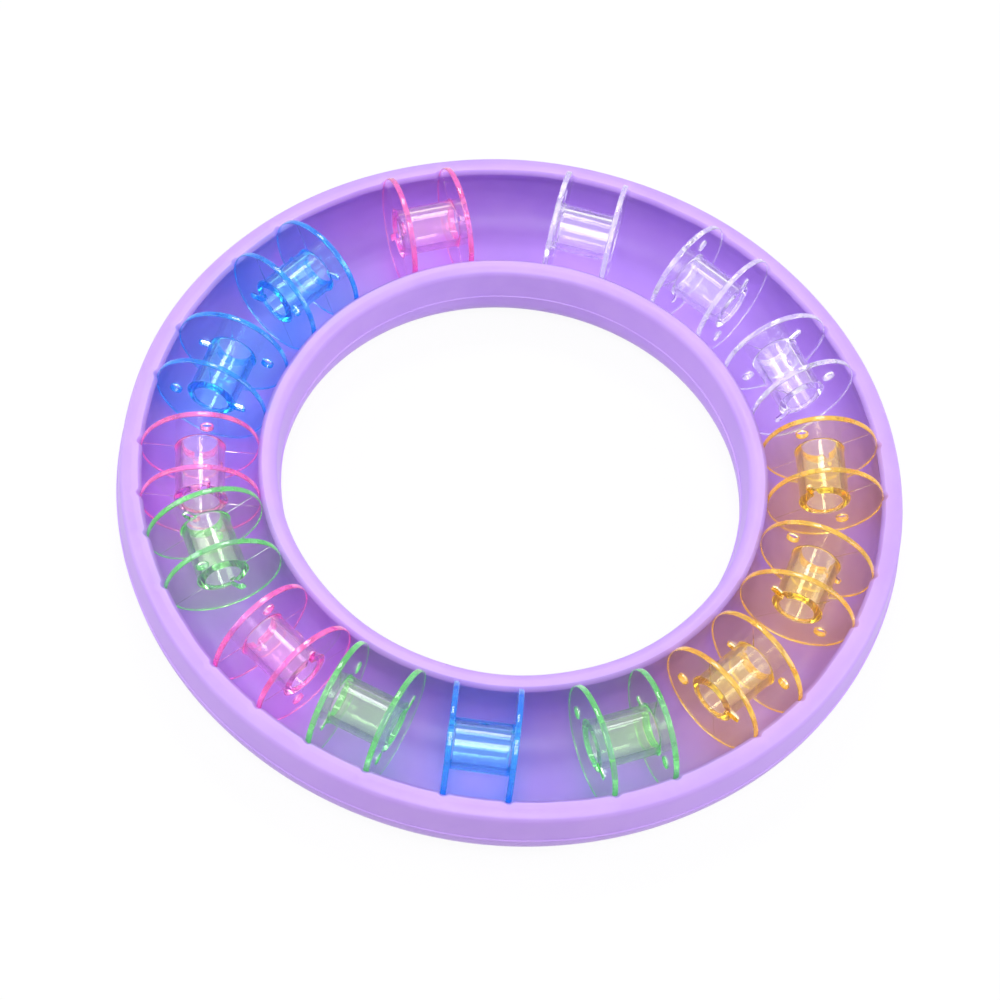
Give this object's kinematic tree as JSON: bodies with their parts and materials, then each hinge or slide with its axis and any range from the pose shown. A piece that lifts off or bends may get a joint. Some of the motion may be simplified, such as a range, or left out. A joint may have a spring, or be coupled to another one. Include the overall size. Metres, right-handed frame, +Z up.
{
  "type": "bobbin storage ring",
  "caption": "Soft lavender ring with an open U-shaped channel whose lips hold thread bobbins standing on edge; each bobbin lifts straight out.",
  "frame": {"origin": "centre of the ring's flat underside", "axes": "+Z up out of the open channel, along the ring's axis; -Y towards the viewer of the picture, +X to their right"},
  "size_m": [0.137, 0.137, 0.0221],
  "materials": {
    "lavender_rubber": "satin",
    "amber_plastic": "transparent gloss",
    "clear_plastic": "transparent gloss",
    "pink_plastic": "transparent gloss",
    "blue_plastic": "transparent gloss",
    "green_plastic": "transparent gloss"
  },
  "bodies": {
    "ring": {"holder_ring": "lavender_rubber"},
    "bobbin_amber_1": {"bobbin_amber_1": "amber_plastic"},
    "bobbin_clear_1": {"bobbin_clear_1": "clear_plastic"},
    "bobbin_clear_2": {"bobbin_clear_2": "clear_plastic"},
    "bobbin_clear_3": {"bobbin_clear_3": "clear_plastic"},
    "bobbin_pink_1": {"bobbin_pink_1": "pink_plastic"},
    "bobbin_blue_1": {"bobbin_blue_1": "blue_plastic"},
    "bobbin_blue_2": {"bobbin_blue_2": "blue_plastic"},
    "bobbin_pink_2": {"bobbin_pink_2": "pink_plastic"},
    "bobbin_green_1": {"bobbin_green_1": "green_plastic"},
    "bobbin_pink_3": {"bobbin_pink_3": "pink_plastic"},
    "bobbin_green_2": {"bobbin_green_2": "green_plastic"},
    "bobbin_blue_3": {"bobbin_blue_3": "blue_plastic"},
    "bobbin_green_3": {"bobbin_green_3": "green_plastic"},
    "bobbin_amber_2": {"bobbin_amber_2": "amber_plastic"},
    "bobbin_amber_3": {"bobbin_amber_3": "amber_plastic"}
  },
  "joints": [
    {"name": "lift_amber_1", "type": "slide", "parent": "ring", "child": "bobbin_amber_1", "axis": [0, 0, 1], "range_m": [0, 0.03]},
    {"name": "lift_clear_1", "type": "slide", "parent": "ring", "child": "bobbin_clear_1", "axis": [0, 0, 1], "range_m": [0, 0.03]},
    {"name": "lift_clear_2", "type": "slide", "parent": "ring", "child": "bobbin_clear_2", "axis": [0, 0, 1], "range_m": [0, 0.03]},
    {"name": "lift_clear_3", "type": "slide", "parent": "ring", "child": "bobbin_clear_3", "axis": [0, 0, 1], "range_m": [0, 0.03]},
    {"name": "lift_pink_1", "type": "slide", "parent": "ring", "child": "bobbin_pink_1", "axis": [0, 0, 1], "range_m": [0, 0.03]},
    {"name": "lift_blue_1", "type": "slide", "parent": "ring", "child": "bobbin_blue_1", "axis": [0, 0, 1], "range_m": [0, 0.03]},
    {"name": "lift_blue_2", "type": "slide", "parent": "ring", "child": "bobbin_blue_2", "axis": [0, 0, 1], "range_m": [0, 0.03]},
    {"name": "lift_pink_2", "type": "slide", "parent": "ring", "child": "bobbin_pink_2", "axis": [0, 0, 1], "range_m": [0, 0.03]},
    {"name": "lift_green_1", "type": "slide", "parent": "ring", "child": "bobbin_green_1", "axis": [0, 0, 1], "range_m": [0, 0.03]},
    {"name": "lift_pink_3", "type": "slide", "parent": "ring", "child": "bobbin_pink_3", "axis": [0, 0, 1], "range_m": [0, 0.03]},
    {"name": "lift_green_2", "type": "slide", "parent": "ring", "child": "bobbin_green_2", "axis": [0, 0, 1], "range_m": [0, 0.03]},
    {"name": "lift_blue_3", "type": "slide", "parent": "ring", "child": "bobbin_blue_3", "axis": [0, 0, 1], "range_m": [0, 0.03]},
    {"name": "lift_green_3", "type": "slide", "parent": "ring", "child": "bobbin_green_3", "axis": [0, 0, 1], "range_m": [0, 0.03]},
    {"name": "lift_amber_2", "type": "slide", "parent": "ring", "child": "bobbin_amber_2", "axis": [0, 0, 1], "range_m": [0, 0.03]},
    {"name": "lift_amber_3", "type": "slide", "parent": "ring", "child": "bobbin_amber_3", "axis": [0, 0, 1], "range_m": [0, 0.03]}
  ]
}
